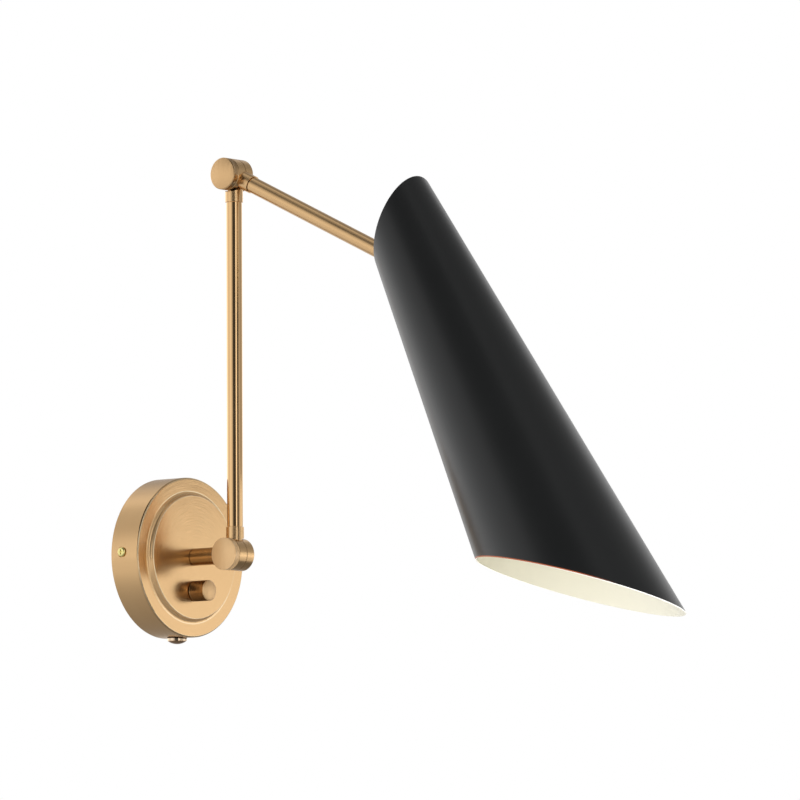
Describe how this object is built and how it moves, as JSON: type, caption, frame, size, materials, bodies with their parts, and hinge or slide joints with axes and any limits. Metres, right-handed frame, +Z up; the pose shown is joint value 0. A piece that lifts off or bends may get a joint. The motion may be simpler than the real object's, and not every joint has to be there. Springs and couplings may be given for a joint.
{
  "type": "swing arm wall lamp",
  "caption": "Wall light with a round plate, upright and sloping jointed arms with friction swivels, a dimmer knob, and a slant-cut cone shade that turns about its arm.",
  "frame": {"origin": "centre of the wall plate's back, in the plane of the wall, between the two wall-screw holes", "axes": "+X along the wall to the right when facing it, +Y into the wall, +Z up; the lamp stands out towards -Y"},
  "size_m": [0.1549, 0.5063, 0.3615],
  "materials": {
    "satin_brass": "satin brushed",
    "bright_brass": "polished",
    "dark_bronze": "polished dark bronze",
    "zinc_steel": "zinc plated",
    "black_paint": "satin black outside, cream white inside",
    "black_plastic": "matte",
    "grey_nylon": "plain",
    "white_insulator": "smooth",
    "lamp_cap_metal": "rolled",
    "frosted_glass": "frosted"
  },
  "bodies": {
    "wall_plate": {"canopy_shell": "satin_brass", "wall_bracket": "zinc_steel", "side_screw_left": "bright_brass", "side_screw_right": "bright_brass", "ground_screw": "zinc_steel", "post_tube": "satin_brass", "post_nipple": "zinc_steel", "post_lock_washer": "zinc_steel", "post_lock_nut": "zinc_steel", "dimmer_case": "black_plastic", "dimmer_nut": "zinc_steel", "cord_inlet_bushing": "dark_bronze", "cord_inlet_nut": "zinc_steel", "cord_inlet_plug": "dark_bronze", "lower_swivel_post_half": "satin_brass", "lower_friction_ring": "grey_nylon"},
    "dimmer": {"dimmer_shaft": "zinc_steel", "dimmer_knob": "satin_brass"},
    "lower_clamp": {"lower_thumbscrew": "satin_brass"},
    "lower_arm": {"lower_swivel_arm_half": "satin_brass", "lower_arm_tube": "satin_brass", "elbow_swivel_lower_half": "satin_brass", "elbow_friction_ring": "grey_nylon"},
    "elbow_clamp": {"elbow_thumbscrew": "satin_brass"},
    "upper_arm": {"elbow_swivel_upper_half": "satin_brass", "upper_arm_tube": "satin_brass", "arm_end_bush": "satin_brass", "turn_washer": "grey_nylon"},
    "shade": {"shade_elbow": "satin_brass", "turn_grub_screw": "zinc_steel", "shade_spider": "zinc_steel", "shade_shell": "black_paint", "lampholder_cap": "black_plastic", "lampholder_body": "white_insulator", "lampholder_shell": "bright_brass", "lampholder_contact": "bright_brass", "bulb_cap": "lamp_cap_metal", "bulb_glass": "frosted_glass"}
  },
  "joints": [
    {"name": "lower_hinge", "type": "hinge", "parent": "wall_plate", "child": "lower_arm", "pos_m": [0, -0.07, 0], "axis": [1, 0, 0], "range_deg": [-5, 75]},
    {"name": "elbow_hinge", "type": "hinge", "parent": "lower_arm", "child": "upper_arm", "pos_m": [0, -0.07, 0.285], "axis": [1, 0, 0], "range_deg": [-60, 2]},
    {"name": "shade_turn", "type": "hinge", "parent": "upper_arm", "child": "shade", "pos_m": [0, -0.25923, 0.19393], "axis": [0, -0.9011, -0.4337], "range_deg": [-76, 104]},
    {"name": "dimmer_turn", "type": "hinge", "parent": "wall_plate", "child": "dimmer", "pos_m": [0, -0.03, -0.0255], "axis": [0, -1, 0], "range_deg": [-150, 150]},
    {"name": "lower_clamp_turn", "type": "hinge", "parent": "wall_plate", "child": "lower_clamp", "pos_m": [0, -0.07, 0], "axis": [1, 0, 0], "range_deg": [-90, 90]},
    {"name": "elbow_clamp_turn", "type": "hinge", "parent": "lower_arm", "child": "elbow_clamp", "pos_m": [0, -0.07, 0.285], "axis": [1, 0, 0], "range_deg": [-90, 90]}
  ]
}
